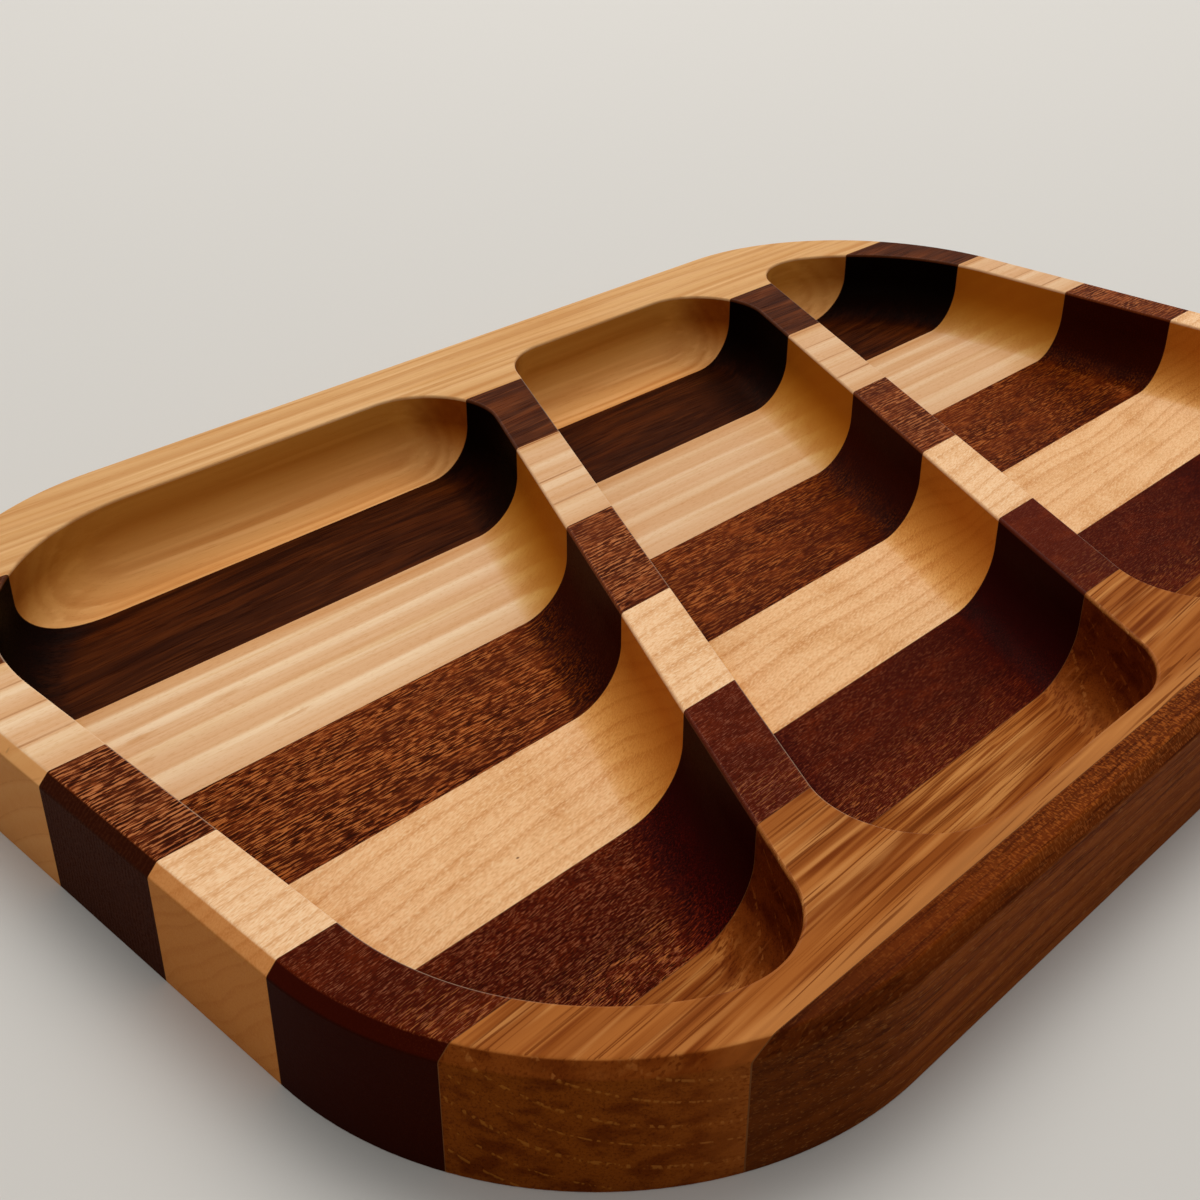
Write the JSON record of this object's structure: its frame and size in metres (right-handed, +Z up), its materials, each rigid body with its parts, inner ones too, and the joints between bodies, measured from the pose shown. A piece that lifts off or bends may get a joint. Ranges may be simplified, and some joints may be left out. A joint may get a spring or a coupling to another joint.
{
  "type": "divided wooden tray",
  "caption": "Low rectangular tray with large rounded corners, glued from strips of contrasting hardwoods, with coved pockets between slanted dividers.",
  "frame": {"origin": "middle of the underside", "axes": "+X along the boards, +Y towards the wide back rim, +Z up"},
  "size_m": [0.281, 0.189, 0.0195],
  "materials": {
    "ash": "oiled, satin, light golden with straight bands",
    "walnut": "oiled, satin, very dark grey-brown",
    "poplar": "oiled, satin, cream with broad tan bands",
    "sapele": "oiled, satin, red-brown with coarse open grain",
    "maple": "oiled, satin, pale cream with fine lines",
    "mahogany": "oiled, satin, dark red-brown with fine pores",
    "oak": "oiled, satin, golden-brown with strong dark grain",
    "edge_wood": "oiled, satin, reddish-brown with ripple"
  },
  "bodies": {
    "root": {"back_ash_board": "ash", "walnut_board": "walnut", "poplar_board": "poplar", "sapele_board": "sapele", "maple_board": "maple", "mahogany_board": "mahogany", "oak_board": "oak", "front_edge_board": "edge_wood"}
  },
  "joints": []
}
